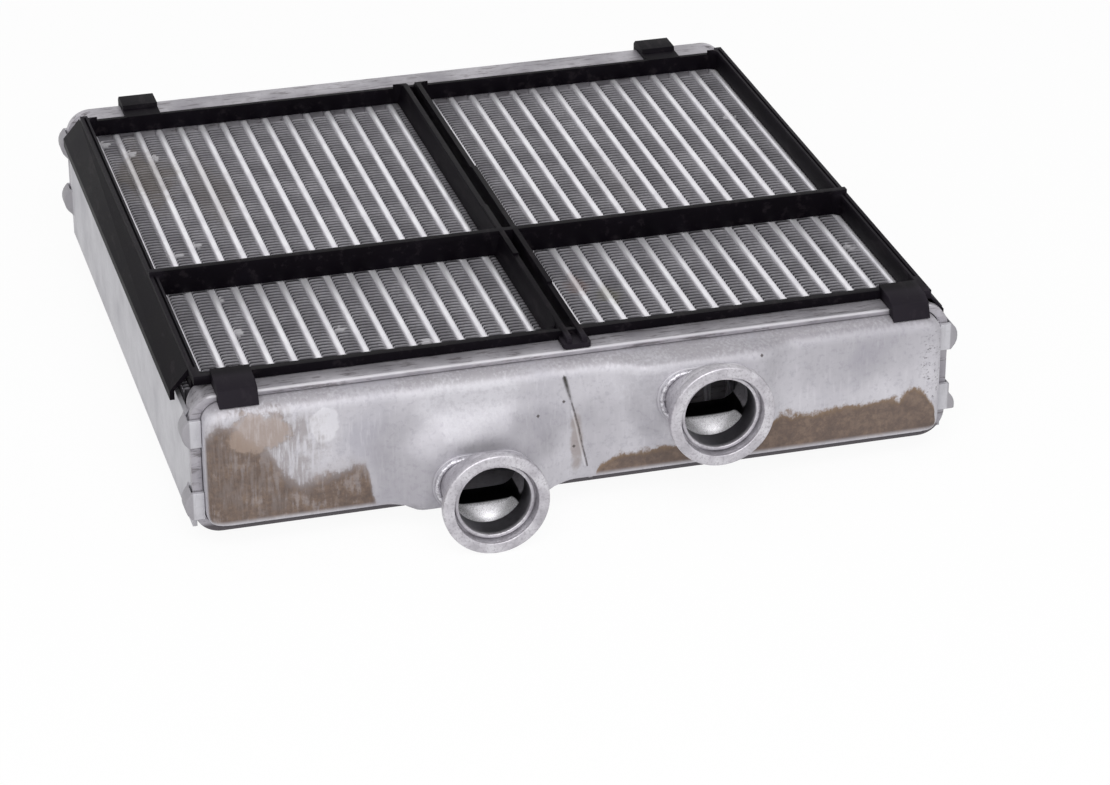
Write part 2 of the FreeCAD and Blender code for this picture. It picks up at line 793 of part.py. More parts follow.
middle_tube = tube_count // 2
tube_group("inlet_pass_tubes", range(middle_tube))
tube_group("middle_tube", [middle_tube])
tube_group("outlet_pass_tubes", range(middle_tube + 1, tube_count))

half_tube = size("tube_thickness").value / 2
fin_walls = [-tray_half_width.value]
for number in range(tube_count):
    fin_walls.extend([tube_place(number) - half_tube, tube_place(number) + half_tube])
fin_walls.append(tray_half_width.value)
for number, (left, right) in enumerate(zip(fin_walls[::2], fin_walls[1::2]), start=1):
    fin_strip(f"fin_{number:02d}", left, right)

side_plate("left_side_plate", False)
side_plate("right_side_plate", True)
sealing_frame()

doc.recompute()
for item in doc.Objects:
    assert "Invalid" not in item.State and "Error" not in item.State, item.Name
os.makedirs("parts", exist_ok=True)
for piece in sub_parts:
    assert not piece.Shape.isNull() and piece.Shape.isValid(), piece.Label
    piece.Shape.exportStep(f"parts/{piece.Label}.step")
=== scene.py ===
import bpy
import math
from mathutils import Matrix, Vector


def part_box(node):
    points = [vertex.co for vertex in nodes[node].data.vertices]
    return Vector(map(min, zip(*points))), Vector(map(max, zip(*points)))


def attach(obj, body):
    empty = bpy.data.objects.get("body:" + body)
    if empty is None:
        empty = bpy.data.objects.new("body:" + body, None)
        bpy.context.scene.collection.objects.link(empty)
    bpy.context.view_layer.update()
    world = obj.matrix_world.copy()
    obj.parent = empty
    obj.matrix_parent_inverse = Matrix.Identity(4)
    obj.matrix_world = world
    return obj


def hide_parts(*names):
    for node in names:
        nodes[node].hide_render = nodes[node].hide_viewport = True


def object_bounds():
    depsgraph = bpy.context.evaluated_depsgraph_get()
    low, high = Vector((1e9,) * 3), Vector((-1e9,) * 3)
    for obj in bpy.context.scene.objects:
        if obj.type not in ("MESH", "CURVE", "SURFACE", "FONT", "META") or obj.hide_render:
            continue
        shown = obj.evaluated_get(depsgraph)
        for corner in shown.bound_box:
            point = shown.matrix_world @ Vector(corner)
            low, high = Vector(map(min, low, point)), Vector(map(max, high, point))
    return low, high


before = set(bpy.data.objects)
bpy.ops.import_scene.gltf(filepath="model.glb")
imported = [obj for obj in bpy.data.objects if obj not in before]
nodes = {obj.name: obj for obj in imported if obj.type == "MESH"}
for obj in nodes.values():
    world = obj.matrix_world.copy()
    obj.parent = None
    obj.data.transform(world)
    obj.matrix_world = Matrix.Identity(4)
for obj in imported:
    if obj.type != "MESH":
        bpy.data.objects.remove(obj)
cad_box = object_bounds()

MM = 0.001

# Noise lies near a half, so it is stretched by this where it tears an edge.
NOISE_REACH = 3

# Sizes are millimetres. Depths and heights count from this corner, low on the front rim.
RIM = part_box("front_header_tray")[0] / MM

# The core: its tubes, and the folded foil between them
TUBE_PITCH = 7.1
TUBES = 31
MIDDLE_TUBE = TUBES // 2
FOLD_PITCH = 1.95
FOIL = 0.16
FOIL_SUNK = 0.7
FOIL_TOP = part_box("middle_tube")[1].z / MM - RIM.z - FOIL_SUNK

# The front tank's face, and the humps' flat tops on it
FACE = -6.2
PLATEAU = -10.7
HALF_FACE = 112
FACE_HEIGHT = 45

# The ports: their axes as (across, up) and the depth of their mouths
PORTS = {"inlet_port": (-31.6, 11), "outlet_port": (35.5, 29.5)}
PORT_MOUTH = -26.7

# A port's radii, and its depths counted from its mouth
FLANGE_RADIUS = 15.7
PIPE_RADIUS = 13.2
MOUTH_RADIUS = 12.4
GROOVE_RADIUS = 11.8
BORE_RADIUS = 10.7
BORE_START = 2.3
MOUTH_FLOOR = 3.6
NECK_START = 8
NECK_RUN = 8
PASSAGE_START = 10
PASSAGE_END = 15
PORT_LENGTH = 22
WIDE_ROUNDING = 0.6
FINE_ROUNDING = 0.3

# Ovals round a port's axis, as (half width, half height)
NECK = (12.8, 7)
NECK_HOLE = (12.9, 7.1)
PASSAGE = (11.6, 5.9)
BOSS = (15.1, 9)
FACE_HOLE = (14.2, 8.1)
BEAD = (13.6, 7.8)


def at(x, y, z):
    """A place counted from the front rim and its underside, in the frame's millimetres."""
    return Vector((x, y + RIM.y, z + RIM.z))


# Shader maths


class Value:
    """A socket that takes part in sums: each operator adds the Math node that works it out."""

    def __init__(self, sheet, socket):
        self.sheet = sheet
        self.socket = socket

    def maths(self, operation, *values):
        return self.sheet.add(
            "ShaderNodeMath", {"operation": operation}, dict(enumerate(values)))

    def __add__(self, other):
        return self.maths("ADD", self, other)

    def __sub__(self, other):
        return self.maths("SUBTRACT", self, other)

    def __mul__(self, other):
        return self.maths("MULTIPLY", self, other)

    def __truediv__(self, other):
        return self.maths("DIVIDE", self, other)

    def __rsub__(self, other):
        return self.maths("SUBTRACT", other, self)

    __radd__ = __add__
    __rmul__ = __mul__

    def __abs__(self):
        return self.maths("ABSOLUTE", self)

    def most(self, other):
        return self.maths("MAXIMUM", self, other)

    def least(self, other):
        return self.maths("MINIMUM", self, other)


def most_of(masks):
    """The strongest of several masks at each place."""
    strongest, *others = masks
    for mask in others:
        strongest = strongest.most(mask)
    return strongest


class NodeSheet:
    """A node tree that starts empty, and the one way to add to it."""

    def __init__(self, tree):
        self.tree = tree
        self.tree.nodes.clear()

    def add(self, kind, settings=None, inputs=None, out=0):
        """Any node: its settings first, then the values or links of its sockets."""
        node = self.tree.nodes.new(kind)
        for name, setting in (settings or {}).items():
            if name == "stops":
                ramp = node.color_ramp
                for place, colour in setting[2:]:
                    ramp.elements.new(place)
                for element, (place, colour) in zip(ramp.elements, sorted(setting)):
                    element.position = place
                    element.color = (*colour, 1)
            else:
                setattr(node, name, setting)
        for name, value in (inputs or {}).items():
            if isinstance(value, Value):
                self.tree.links.new(value.socket, node.inputs[name])
            else:
                node.inputs[name].default_value = value
        return Value(self, node.outputs[out]) if node.outputs else None

    def seen(self):
        """1 for the rays that show a thing itself, straight, mirrored or through glass."""
        rays = ("Is Camera Ray", "Is Glossy Ray", "Is Transmission Ray")
        return most_of(self.add("ShaderNodeLightPath", out=ray) for ray in rays)


class Finish(NodeSheet):
    """A material of this part, built up from procedural nodes on the piece's own millimetres."""

    def __init__(self, name, **constants):
        self.material = bpy.data.materials.new(name)
        self.material.use_nodes = True
        super().__init__(self.material.node_tree)
        self.shader = self.tree.nodes.new("ShaderNodeBsdfPrincipled")
        self.output = self.tree.nodes.new("ShaderNodeOutputMaterial")
        self.show(self.shader.outputs["BSDF"])
        for socket, constant in constants.items():
            self.shader.inputs[socket.replace("_", " ")].default_value = constant
        place = self.add("ShaderNodeTexCoord", out="Object")
        self.millimetres = self.add(
            "ShaderNodeVectorMath", {"operation": "SCALE"}, {0: place, "Scale": 1 / MM})
        self.x, self.y, self.z = (
            self.add("ShaderNodeSeparateXYZ", {}, {0: self.millimetres}, out=axis) - start
            for axis, start in zip("XYZ", (0, RIM.y, RIM.z)))

    def show(self, socket):
        """What the surface shows in the end."""
        self.tree.links.new(socket, self.output.inputs["Surface"])

    def feed(self, socket, value):
        """What changes over the surface goes to a socket of the shader."""
        self.tree.links.new(value.socket, self.shader.inputs[socket])

    def step(self, value, low, high):
        """0 below low, 1 above high and smooth between; low may be the larger."""
        flip = low > high
        low, high = sorted((low, high))
        rise = self.add(
            "ShaderNodeMapRange", {"interpolation_type": "SMOOTHSTEP"},
            {"Value": value, "From Min": low, "From Max": high})
        return 1 - rise if flip else rise

    def noise(self, size, detail=3.0, roughness=0.55, stretch=(1, 1, 1), shift=0.0):
        """Cloudy noise from 0 to 1 whose blotches are about size millimetres across."""
        where = self.add(
            "ShaderNodeMapping", {},
            {"Vector": self.millimetres, "Location": (shift, shift, shift),
             "Scale": tuple(1 / (size * s) for s in stretch)})
        return self.add(
            "ShaderNodeTexNoise", {},
            {"Vector": where, "Scale": 1.0, "Detail": detail, "Roughness": roughness})

    def mix(self, factor, first, second):
        """Two colours mixed."""
        return self.add(
            "ShaderNodeMix", {"data_type": "RGBA"}, {0: factor, 6: first, 7: second}, out=2)

    def tone(self, factor, *stops):
        """A colour from a ramp of (place, colour) stops."""
        return self.add("ShaderNodeValToRGB", {"stops": list(stops)}, {"Fac": factor})

    def bump(self, height, distance, strength):
        """A normal from a height in millimetres times distance."""
        return self.add(
            "ShaderNodeBump", {},
            {"Height": height, "Distance": distance * MM, "Strength": strength})

    def near_line(self, points, width, soft):
        """1 on a crooked line drawn on the tank's face, 0 beyond its width."""
        nearest = None
        for (x0, z0), (x1, z1) in zip(points, points[1:]):
            length = math.hypot(x1 - x0, z1 - z0)
            along_x = (x1 - x0) / length
            along_z = (z1 - z0) / length
            along = (self.x - x0) * along_x + (self.z - z0) * along_z
            beyond = (along - length).most(0 - along).most(0)
            aside = abs((self.x - x0) * along_z - (self.z - z0) * along_x)
            gap = aside + beyond
            nearest = gap if nearest is None else nearest.least(gap)
        return self.step(nearest, width + soft, width)

    def skyline(self, points):
        """A height that follows points across the tank's face."""
        width = 2 * HALF_FACE
        stops = [((x + HALF_FACE) / width, (z / FACE_HEIGHT,) * 3) for x, z in points]
        return self.tone((self.x + HALF_FACE) / width, *stops) * FACE_HEIGHT

    def blot(self, place, ragged, tear, soft):
        """1 inside a rounded blotch on the tank's face: its middle, half width, half height."""
        x, z, across, up = place
        aside = abs(self.x - x) / across
        above = abs(self.z - z) / up
        gap = aside * aside + above * above + (ragged - 0.5) * NOISE_REACH * tear
        return self.step(gap, 1 + soft, 1 - soft)


def shade(red, green, blue):
    """A colour from its screen values, in the shader's linear light."""
    def linear(value):
        value = value / 255
        return value / 12.92 if value <= 0.04045 else ((value + 0.055) / 1.055) ** 2.4
    return tuple(linear(value) for value in (red, green, blue))


def solid(*screen):
    """The same with its alpha."""
    return (*shade(*screen), 1)


# Marks on the tank's face: blots as (across, up, half width, half height), lines as points

FROST = (-34, 35, 14, 11)
SECOND_FROST = (21, 34, 12, 7)
# Painted shade: darker blots on the humps' flanks, beside the ports and over the face's right end
SHADE_BLOTS = (
    ((-53, 15, 10, 17), 1), ((-20, 21, 15, 8), 1), ((19, 27, 7, 9), 0.7), ((58, 36, 4, 7), 0.6),
    ((4, 18, 9, 14), 0.7), ((88, 37, 38, 13), 0.75),
)
DROP = (-76.4, 33, 4.1, 5.6)
DRIP = (-2.4, 17, 1.8, 8)
MOTTLE = (-94, 24, 16, 15)
TAN = (-96, 32.5, 8.5, 5.8)
TAN_EDGE = (-96, 32.5, 9.1, 6.4)
FLECKED = (107.5, 27, 4, 13)
TIDE_LINE = (
    (-112, 31), (-107, 38), (-103, 36), (-98, 31), (-93, 27), (-89, 20), (-84, 15.5), (-76, 17.5),
    (-68, 19.5), (-64.5, 18), (-62.6, 8), (-61, 0), (2, 0), (4.5, 8), (12, 12.5), (22, 12),
    (28, 13), (31, 9), (34, 6), (50, 7), (56, 14), (60, 17.6), (69, 15.8), (80, 16.8),
    (90, 17.4), (97, 17), (101, 20), (105.5, 17.4), (108.6, 12), (110, 0),
)
CREASE = (
    (-5.9, 38), (-4.6, 32.9), (-3.1, 27.2), (-1.7, 21.5), (-0.6, 15.8), (0.6, 10.1), (1.0, 8.4),
)
PITS = ((-13.9, 26.9), (-6.1, 30.3), (-3.1, 15.4), (52.4, 39))

# Marks on the core, seen from above: stains as (across, along, half width, half length)

STAINS = (
    ((-96, 168, 11, 30), 0.42, (122, 112, 98)),
    ((-78, 150, 9, 34), 0.2, (128, 118, 104)),
    ((14.6, 51, 4, 9), 0.4, (150, 120, 112)),
    ((22.0, 43, 4, 9), 0.35, (136, 134, 104)),
    ((47, 122, 8, 30), 0.15, (112, 104, 100)),
)
DENTS = (
    (-104.8, 198), (-97.5, 188), (-90.6, 182), (-98.6, 106.4), (-91.2, 112.5), (-91.2, 71),
    (-90.4, 49), (-60.6, 42), (-38.6, 27), (102.8, 55), (98.6, 163),
)


# Finishes


def tank_finish():
    """Pressed tank sheet: satin grey, with dried coolant stains, drops, pits, a crease with painted
    shade and a painted highlight, blots of painted shade and a darker band along the top.
    """
    f = Finish("tank_aluminium", IOR=1.45)
    clouds = f.noise(22, 4)
    ragged = f.noise(6, 6, 0.66)
    fine = f.noise(1.4, 4, 0.65)
    grain = f.noise(0.35, 2, 0.6, (2.2, 1, 1))
    brushed = f.noise(1.3, 4, 0.6, (0.7, 1, 5))
    on_face = f.step(f.y, -3.2, -4.6)

    colour = f.tone(
        clouds, (0.3, shade(170, 168, 176)), (0.5, shade(186, 184, 190)),
        (0.72, shade(198, 196, 202)))
    colour = f.mix(f.step(fine, 0.5, 0.68) * 0.45, colour, solid(160, 157, 166))
    colour = f.mix(f.step(brushed, 0.5, 0.7) * 0.3, colour, solid(206, 204, 209))
    frost = f.blot(FROST, ragged, 1.6, 0.5) * f.step(fine, 0.36, 0.6)
    frost = frost.most(f.blot(SECOND_FROST, ragged, 1.4, 0.5) * f.step(fine, 0.4, 0.6) * 0.7)
    colour = f.mix(frost * on_face * 0.5, colour, solid(212, 211, 216))
    patchy = 0.3 + 0.7 * f.step(brushed * 0.5 + clouds * 0.5, 0.42, 0.58)
    # Darker along the top of the bowl, in patches
    darker_top_band = f.step(f.z, 38.6, 40.8) * patchy
    colour = f.mix(darker_top_band * 0.55, colour, solid(126, 121, 126))
    # Painted shade: darker blots on the tank's face
    painted_shade = most_of(f.blot(place, clouds, 0.7, 0.9) * strength for place, strength in SHADE_BLOTS)
    colour = f.mix(painted_shade * on_face * 0.42, colour, solid(124, 121, 128))
    drop = f.blot(DROP, ragged, 0.8, 0.2)
    colour = f.mix(drop * on_face * (0.35 + 0.3 * fine), colour, solid(222, 221, 226))

    brown, cover, umber = dried_coolant(f, ragged, brushed, fine)
    colour = f.mix(brown * on_face * cover, colour, umber)
    mottle = f.blot(MOTTLE, ragged, 1.6, 0.8) * f.step(brushed, 0.36, 0.6)
    colour = f.mix(mottle * on_face * 0.55, colour, solid(120, 110, 107))
    tan = f.blot(TAN, ragged, 1.1, 0.2)
    tan_edge = f.blot(TAN_EDGE, ragged, 1.1, 0.16)
    colour = f.mix((tan_edge - tan).most(0) * on_face * 0.5, colour, solid(118, 102, 90))
    colour = f.mix(tan * on_face * 0.6, colour, solid(158, 140, 128))
    flecks = f.step(f.noise(0.8, 4, 0.75, (1.6, 1, 1)), 0.57, 0.64)
    flecks = flecks * f.blot(FLECKED, ragged, 0.8, 0.5)
    colour = f.mix(flecks * on_face * 0.75, colour, solid(84, 80, 84))

    crack_shade, wedge_shade, ridge_highlight = crease_marks(f, fine)
    crack_shade = crack_shade * on_face
    wedge_shade = wedge_shade * on_face
    # Painted highlight along the crease's ridge, then painted shade along its crack and in its
    # wedge
    colour = f.mix(ridge_highlight * on_face * 0.3, colour, solid(220, 218, 222))
    colour = f.mix(crack_shade * 0.8, colour, solid(72, 66, 64))
    colour = f.mix(wedge_shade * 0.9, colour, solid(52, 50, 44))
    pits = most_of(f.step(abs(f.x - x) + abs(f.z - z), 0.75, 0.35) for x, z in PITS)
    colour = f.mix(pits * on_face * 0.85, colour, solid(60, 52, 50))

    f.feed("Base Color", colour)
    f.feed("Roughness", 0.48 + 0.16 * fine + 0.14 * brown)
    f.feed("Metallic", 0.36 - 0.28 * brown * on_face - 0.2 * frost)
    height = grain * 0.25 + fine * 0.8 + ragged * 0.6 - crack_shade * 3 - wedge_shade * 6
    f.feed("Normal", f.bump(height, 0.09, 0.7))
    return f.material


def dried_coolant(f, ragged, brushed, fine):
    """Where dried coolant browns the tank below its tide line, how it covers, and its colour."""
    rough = (ragged - 0.5) * 8 + (brushed - 0.5) * 2.5 + (fine - 0.5) * 2.5
    depth = f.skyline(TIDE_LINE) - f.z + rough
    above_shoulder = f.step(f.z, 4.4, 6.4)
    left_share = f.step(f.x, -40, -50)
    sharp = f.step(depth, -0.7, 1.3)
    soft = f.step(depth, -3.5, 4.5)
    brown = (sharp * (1 - left_share * 0.6) + soft * left_share * 0.6) * above_shoulder
    brown = brown.most(f.blot(DRIP, ragged, 1.2, 0.6) * 0.45)
    thin = f.step(brushed * 0.4 + ragged * 0.6, 0.5, 0.62) * left_share
    umber = f.tone(
        fine * 0.5 + ragged * 0.5, (0.38, shade(76, 60, 50)), (0.5, shade(93, 75, 63)),
        (0.62, shade(114, 95, 80)))
    ochre = f.step(depth, 2.6, 0.6) * (1 - left_share)
    umber = f.mix(ochre * 0.45, umber, solid(130, 104, 70))
    return brown, 0.94 - 0.2 * thin, umber


def crease_marks(f, fine):
    """The crease down the tank's face: painted shade along its crack and in the wedge at its top,
    and a painted highlight along the ridge beside it.
    """
    waver = 0.35 + 0.65 * f.step(fine, 0.34, 0.56)
    crack_shade = f.near_line(CREASE, 0.08, 0.3) * waver
    wedge_shade = f.near_line(CREASE[:3], 0.1, 0.8) * f.step(f.z, 28, 38)
    beside = [(x - 0.7, z) for x, z in CREASE[2:]]
    return crack_shade, wedge_shade, f.near_line(beside, 0.05, 0.35)


def sheet_finish(name, low, middle, high, metallic, roughness, grime_and_shade, scratch=(6, 1, 1)):
    """Rolled aluminium: cloudy satin grey, scratched one way, grimy, with painted shade on the lip
    under the tank and a painted highlight along the rim's top front edge.
    """
    f = Finish(name, IOR=1.45)
    clouds = f.noise(16, 4)
    fine = f.noise(1.1, 4, 0.65)
    lines = f.noise(0.3, 2, 0.6, scratch)
    colour = f.tone(clouds, (0.32, shade(*low)), (0.5, shade(*middle)), (0.7, shade(*high)))
    colour = f.mix(f.step(fine, 0.55, 0.72) * 0.45, colour, solid(*low))
    streaks = f.step(f.noise(1.3, 5, 0.7, scratch), 0.52, 0.64)
    colour = f.mix(streaks * grime_and_shade, colour, solid(96, 91, 93))
    # Painted shade on the tray's lip under the overhanging tank bowl
    lip_shade = f.step(f.z, 3.4, 1.6) * f.step(f.y, 4, 2) * grime_and_shade
    colour = f.mix(lip_shade * 1.4, colour, solid(84, 80, 84))
    tabs = f.step(abs(f.x), 114, 114.5)
    colour = f.mix(tabs * 0.7, colour, solid(132, 129, 134))
    # Painted highlight along the rim's rolled top front edge
    edge_highlight = f.step(f.z, 42.6, 43.1) * f.step(f.y, 1.1, 0.5)
    colour = f.mix(edge_highlight * 0.7, colour, solid(226, 224, 229))
    f.feed("Base Color", colour)
    f.feed("Roughness", roughness - 0.08 + 0.16 * fine)
    f.feed("Metallic", metallic + 0.1 - 0.2 * clouds)
    f.feed("Normal", f.bump(lines * 0.3 + fine * 0.7, 0.06, 0.6))
    return f.material


def tube_finish():
    """Tubes: bright clad aluminium with a sparkle of braze grains."""
    f = Finish("tube_aluminium", IOR=1.45)
    clouds = f.noise(9, 3)
    grains = f.noise(0.55, 3, 0.7, (1, 2, 1))
    colour = f.tone(
        clouds, (0.3, shade(222, 220, 226)), (0.5, shade(234, 232, 237)),
        (0.7, shade(242, 241, 245)))
    colour = f.mix(f.step(grains, 0.56, 0.7) * 0.4, colour, solid(196, 194, 201))
    f.feed("Base Color", dirty_core(f, colour))
    f.feed("Roughness", 0.34 + 0.2 * grains)
    f.feed("Metallic", 0.5 + 0.2 * clouds)
    f.feed("Normal", f.bump(grains, 0.09, 0.7))
    return f.material


def dirty_core(f, colour):
    """The stains and dents that lie over tubes and fins alike, by their place on the core."""
    ragged = f.noise(4, 4, 0.6, shift=5.0)
    for (x, y, across, along), strength, screen in STAINS:
        gap = abs(f.x - x) / across + abs(f.y - y) / along
        stain = f.step(gap + (ragged - 0.5) * 1.6, 1.3, 0.5)
        colour = f.mix(stain * strength, colour, solid(*screen))
    torn = (ragged - 0.5) * NOISE_REACH
    dents = most_of(
        f.step(abs(f.x - x) / 2.5 + abs(f.y - y) / 3 + torn, 1.1, 0.6) for x, y in DENTS)
    return f.mix(dents * 0.8, colour, solid(232, 230, 234))


def foil_finish():
    """Fin foil: thin dull aluminium, with painted shade below its top edge, stained where water
    stood.
    """
    f = Finish("fin_foil_aluminium", IOR=1.45)
    clouds = f.noise(14, 4)
    fine = f.noise(0.9, 3, 0.7)
    edge = f.step(f.z, FOIL_TOP - 0.8, FOIL_TOP - 0.1)
    colour = f.tone(
        clouds, (0.34, shade(156, 154, 160)), (0.5, shade(174, 172, 178)),
        (0.66, shade(196, 194, 200)))
    colour = f.mix(f.step(fine, 0.5, 0.66) * 0.4, colour, solid(140, 137, 142))
    # Painted shade down between the folds, below the foil's top edge
    colour = f.mix((1 - edge) * 0.9, colour, solid(56, 54, 58))
    f.feed("Base Color", dirty_core(f, colour))
    f.feed("Roughness", 0.4 + 0.2 * fine)
    f.feed("Metallic", 0.3 + 0.2 * clouds)
    f.feed("Normal", f.bump(fine, 0.1, 0.6))
    return f.material


def port_finish(port):
    """A hose port: turned aluminium, satin outside, with painted shade darkening deeper into the
    bore and a painted highlight on its ramp.
    """
    f = Finish(f"{port}_aluminium", IOR=1.45)
    x, z = PORTS[port]
    across = f.x - x
    up = f.z - z
    radius = f.add("ShaderNodeMath", {"operation": "SQRT"}, {0: across * across + up * up})
    depth = f.y - PORT_MOUTH
    clouds = f.noise(6, 4)
    fine = f.noise(0.8, 4, 0.65)
    turned = f.noise(0.22, 2, 0.6, (8, 1, 8))
    colour = f.tone(
        clouds, (0.36, shade(170, 167, 173)), (0.5, shade(187, 184, 190)),
        (0.64, shade(204, 202, 207)))
    colour = f.mix(f.step(fine, 0.5, 0.62) * 0.5, colour, solid(140, 136, 142))
    in_bore = f.step(radius, BORE_RADIUS + 0.25, BORE_RADIUS + 0.1)
    bore_shade = in_bore * f.step(depth, BORE_START + 0.3, BORE_START + 1.9)
    begun = f.step(depth, PASSAGE_START - 0.1, PASSAGE_START + 0.2)
    ended = f.step(depth, PASSAGE_END - 0.8, PASSAGE_END - 0.4)
    low_down = f.step(up, 0.3 - PASSAGE[1], -0.1 - PASSAGE[1])
    ramp = bore_shade * begun * (1 - ended) * low_down
    # Painted shade: the bore darkens the deeper it goes
    colour = f.mix(bore_shade, colour, f.tone(
        depth / 16, (0.2, shade(132, 130, 136)), (0.61, shade(84, 82, 88)),
        (0.68, shade(20, 19, 21))))
    # Painted highlight on the ramp where the bore rises toward the passage
    colour = f.mix(ramp, colour, solid(236, 235, 238))
    f.feed("Base Color", colour)
    f.feed("Roughness", 0.3 + 0.2 * fine - 0.12 * ramp)
    f.feed("Metallic", 0.5 + 0.2 * clouds + 0.35 * bore_shade * (1 - ramp))
    f.feed("Normal", f.bump((turned * 0.4 + fine * 0.6) * (1 - 0.9 * bore_shade), 0.06, 0.6))
    return f.material


def bead_finish():
    """Braze bead: molten and set, bright with darker flux between the lumps."""
    f = Finish("braze_aluminium", IOR=1.45)
    fine = f.noise(1.2, 4, 0.7)
    lumps = f.noise(2.6, 3)
    colour = f.tone(
        fine, (0.35, shade(140, 137, 143)), (0.52, shade(198, 196, 202)),
        (0.66, shade(228, 227, 232)))
    f.feed("Base Color", colour)
    f.feed("Roughness", 0.24 + 0.3 * lumps)
    f.feed("Metallic", 0.6 + 0.2 * lumps)
    f.feed("Normal", f.bump(fine * 0.6 + lumps, 0.25, 0.8))
    return f.material


def moulded_finish():
    """Black moulded plastic: satin, fine texture, rubbed paler here and there."""
    f = Finish("black_moulded_plastic", IOR=1.4, Specular_IOR_Level=0.09)
    clouds = f.noise(18, 4)
    fine = f.noise(0.5, 3, 0.65)
    rubbed = f.noise(3, 4, 0.65, (1, 4, 1))
    colour = f.tone(
        clouds, (0.3, shade(6, 4, 8)), (0.5, shade(9, 6, 11)), (0.72, shade(14, 11, 17)))
    colour = f.mix(f.step(rubbed, 0.54, 0.68) * 0.35, colour, solid(44, 39, 43))
    wall_top = f.step(f.z, 44.5, 46.2) * f.step(abs(f.x + 0.7), 105, 107)
    # Paler at the front hooks and along the side walls' tops
    paler_front_and_wall_tops = f.step(f.y, 7, 3) * 0.5 + wall_top * 0.25
    colour = f.mix(paler_front_and_wall_tops, colour, solid(44, 40, 47))
    f.feed("Base Color", colour)
    f.feed("Roughness", 0.42 + 0.14 * clouds + 0.1 * fine)
    f.feed("Normal", f.bump(fine, 0.05, 0.5))
    return f.material


# Modelling helpers


def nothing_selected():
    """Back in object mode with nothing selected."""
    if bpy.context.object and bpy.context.object.mode != "OBJECT":
        bpy.ops.object.mode_set(mode="OBJECT")
    bpy.ops.object.select_all(action="DESELECT")


def only(piece):
    """The piece alone is selected and active."""
    nothing_selected()
    piece.select_set(True)
    bpy.context.view_layer.objects.active = piece
    return piece


def pick(piece, kind, test):
    """Selects the vertices, edges or faces that pass a test and stays in edit mode."""
    bpy.ops.object.mode_set(mode="EDIT")
    bpy.ops.mesh.select_mode(type=kind)
    bpy.ops.mesh.select_all(action="DESELECT")
    bpy.ops.object.mode_set(mode="OBJECT")
    mesh = piece.data
    items = {"VERT": mesh.vertices, "EDGE": mesh.edges, "FACE": mesh.polygons}[kind]
    for item in items:
        item.select = test(item)
    bpy.ops.object.mode_set(mode="EDIT")


def edge_middle(piece, edge):
    """The middle of an edge, in metres."""
    first, second = (piece.data.vertices[number].co for number in edge.vertices)
    return (first + second) / 2


def edit_all(piece):
    """Edit mode with everything selected."""
    only(piece)
    bpy.ops.object.mode_set(mode="EDIT")
    bpy.ops.mesh.select_mode(type="VERT")
    bpy.ops.mesh.select_all(action="SELECT")


def object_mode():
    """Back in object mode."""
    bpy.ops.object.mode_set(mode="OBJECT")


def modifier(piece, kind, **settings):
    """Adds a modifier with its settings and applies it."""
    only(piece)
    added = piece.modifiers.new(kind.lower(), kind)
    for name, setting in settings.items():
        setattr(added, name, setting)
    bpy.ops.object.modifier_apply(modifier=added.name)


def smooth(piece, degrees):
    """Smooth shading, but for edges sharper than that."""
    only(piece)
    bpy.ops.object.shade_smooth_by_angle(angle=math.radians(degrees))


def settle(piece, name, finish):
    """Applies the piece's place, names it, gives it its finish and lets it ride."""
    only(piece)
    bpy.ops.object.transform_apply(location=True, rotation=True, scale=True)
    piece.name = name
    piece.data.name = name
    piece.data.materials.clear()
    piece.data.materials.append(finish)
    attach(piece, "root")
    return piece


def twin(piece):
    """A copy with its own mesh."""
    copy = piece.copy()
    copy.data = piece.data.copy()
    bpy.context.scene.collection.objects.link(copy)
    return copy


def merged_copy(node):
    """A CAD node's mesh as a piece of its own, its loose triangles joined into flat faces."""
    source = nodes[node]
    copy = bpy.data.objects.new(node + "_piece", source.data.copy())
    bpy.context.scene.collection.objects.link(copy)
    edit_all(copy)
    bpy.ops.mesh.remove_doubles(threshold=2e-6)
    bpy.ops.mesh.dissolve_limited(angle_limit=math.radians(0.6))
    object_mode()
    return copy


def soften(piece, radius, segments, test=lambda middle: True):
    """Rounds the sharp edges whose middle, in millimetres, passes a test."""
    sharpness = 25
    only(piece)
    bpy.ops.object.mode_set(mode="EDIT")
    bpy.ops.mesh.select_mode(type="EDGE")
    bpy.ops.mesh.select_all(action="DESELECT")
    bpy.ops.mesh.edges_select_sharp(sharpness=math.radians(sharpness))
    object_mode()
    for edge in piece.data.edges:
        if edge.select and not test(edge_middle(piece, edge) / MM):
            edge.select = False
    bpy.ops.object.mode_set(mode="EDIT")
    bpy.ops.mesh.bevel(offset=radius * MM, segments=segments, affect="EDGES", clamp_overlap=True)
    object_mode()


def block(left, right, near, far, low, high):
    """A box between those sides, in millimetres, on its way to being a piece."""
    nothing_selected()
    middle = Vector(((left + right) / 2, (near + far) / 2, (low + high) / 2)) * MM
    bpy.ops.mesh.primitive_cube_add(size=1, location=middle)
    piece = bpy.context.object
    piece.scale = Vector((right - left, far - near, high - low)) * MM
    bpy.ops.object.transform_apply(location=True, rotation=True, scale=True)
    return piece


def is_along(piece, edge, axis):
    """Whether an edge runs along that axis."""
    first, second = (piece.data.vertices[number].co for number in edge.vertices)
    run = second - first
    return abs(run[axis]) > 0.9 * run.length


def eased(share):
    """A share kept between 0 and 1, smooth at both ends."""
    share = min(1, max(0, share))
    return share * share * (3 - 2 * share)


def slice_at(piece, point, normal):
    """Cuts the whole of a piece along a plane, in millimetres, and stays in edit mode."""
    if bpy.context.object is not piece or piece.mode != "EDIT":
        edit_all(piece)
    bpy.ops.mesh.select_all(action="SELECT")
    bpy.ops.mesh.bisect(plane_co=Vector(point) * MM, plane_no=normal)


